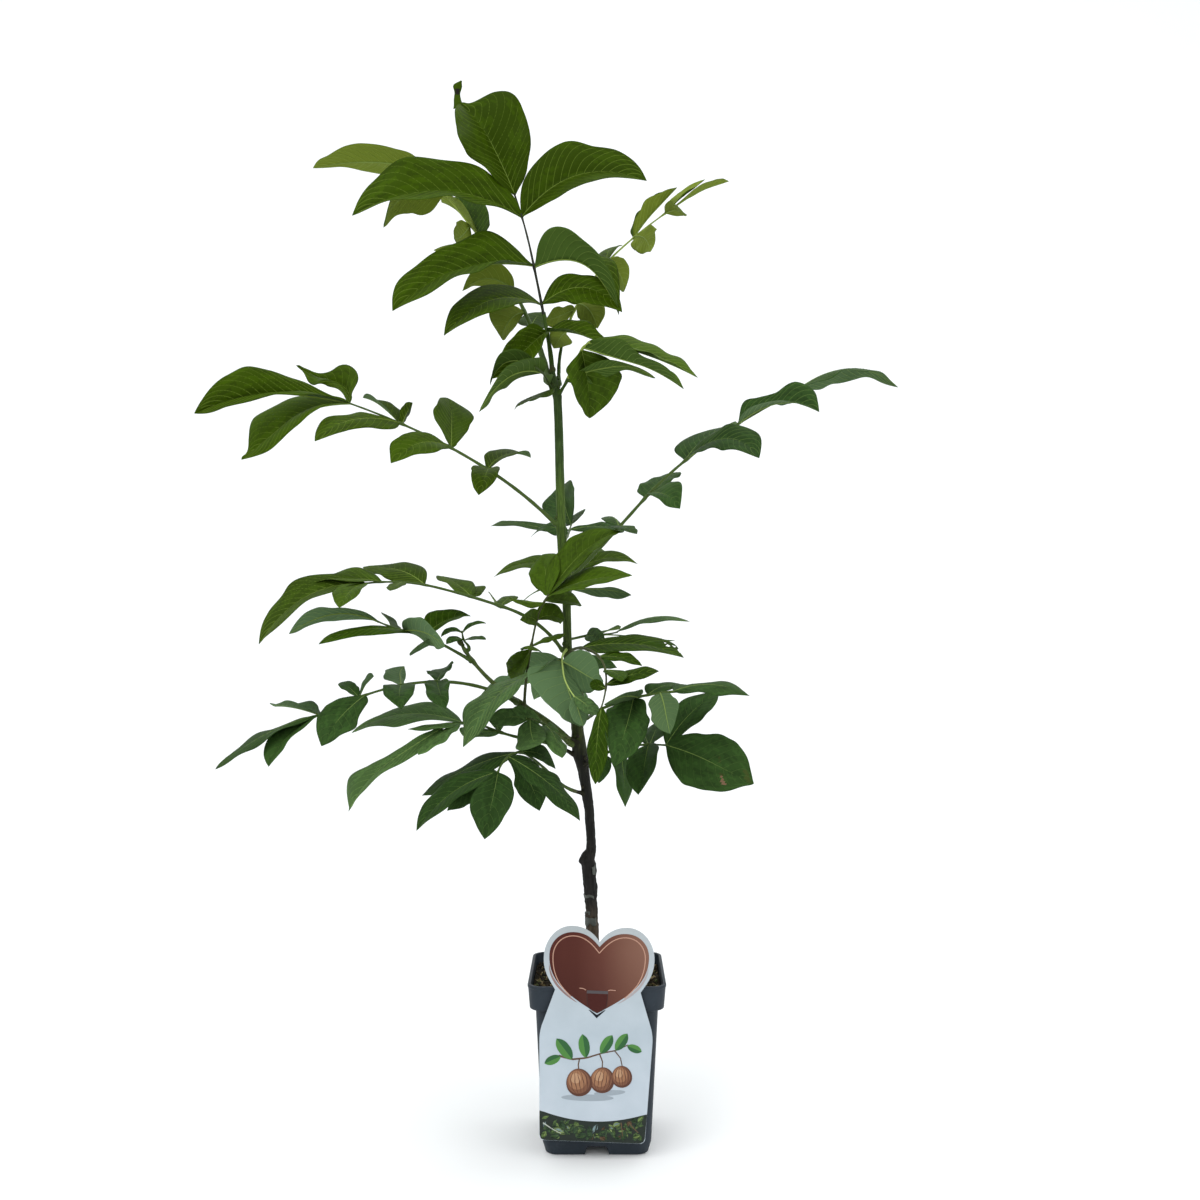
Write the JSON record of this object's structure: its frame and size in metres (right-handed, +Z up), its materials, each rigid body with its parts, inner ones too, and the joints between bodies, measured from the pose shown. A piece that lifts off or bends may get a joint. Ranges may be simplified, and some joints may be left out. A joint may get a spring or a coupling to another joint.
{
  "type": "potted walnut tree",
  "caption": "Young walnut tree with compound leaves, in a square dark grey nursery pot with a heart-topped card label.",
  "frame": {"origin": "centre of the pot's flat underside, where it stands on a surface", "axes": "+Z up along the stem, +Y away from the pot's label, +X to the viewer's right"},
  "size_m": [0.6969, 0.4094, 1.0617],
  "materials": {
    "pot_plastic": "matte",
    "soil": "matte",
    "card": "satin",
    "bark": "matte",
    "young_bark": "satin",
    "leaf_stalk": "satin",
    "foliage": "satin"
  },
  "bodies": {
    "root": {"back_left_frond": "foliage", "back_left_stalk": "leaf_stalk", "back_low_frond": "foliage", "back_low_stalk": "leaf_stalk", "back_lower_frond": "foliage", "back_lower_stalk": "leaf_stalk", "back_middle_frond": "foliage", "back_middle_stalk": "leaf_stalk", "back_right_frond": "foliage", "back_right_stalk": "leaf_stalk", "back_upper_frond": "foliage", "back_upper_stalk": "leaf_stalk", "crown_frond": "foliage", "crown_stalk": "leaf_stalk", "front_frond": "foliage", "front_left_top_frond": "foliage", "front_right_top_frond": "foliage", "front_stalk": "leaf_stalk", "label_card": "card", "left_low_long_frond": "foliage", "left_low_long_stalk": "leaf_stalk", "left_lower_frond": "foliage", "left_lower_stalk": "leaf_stalk", "left_middle_frond": "foliage", "left_middle_stalk": "leaf_stalk", "left_shoot_leaf_frond": "foliage", "left_shoot_leaf_stalk": "leaf_stalk", "left_upper_frond": "foliage", "left_upper_stalk": "leaf_stalk", "low_left_hanging_frond": "foliage", "low_left_hanging_stalk": "leaf_stalk", "low_left_near_frond": "foliage", "low_left_near_stalk": "leaf_stalk", "main_stem": "bark", "pot": "pot_plastic", "right_low_big_frond": "foliage", "right_low_big_stalk": "leaf_stalk", "right_low_frond": "foliage", "right_low_stalk": "leaf_stalk", "right_middle_frond": "foliage", "right_middle_stalk": "leaf_stalk", "right_thin_frond": "foliage", "right_thin_stalk": "leaf_stalk", "right_upper_frond": "foliage", "right_upper_stalk": "leaf_stalk", "riser_frond": "foliage", "riser_stalk": "leaf_stalk", "shoot_tip_leaf_frond": "foliage", "side_shoot": "young_bark", "soil": "soil"}
  },
  "joints": []
}
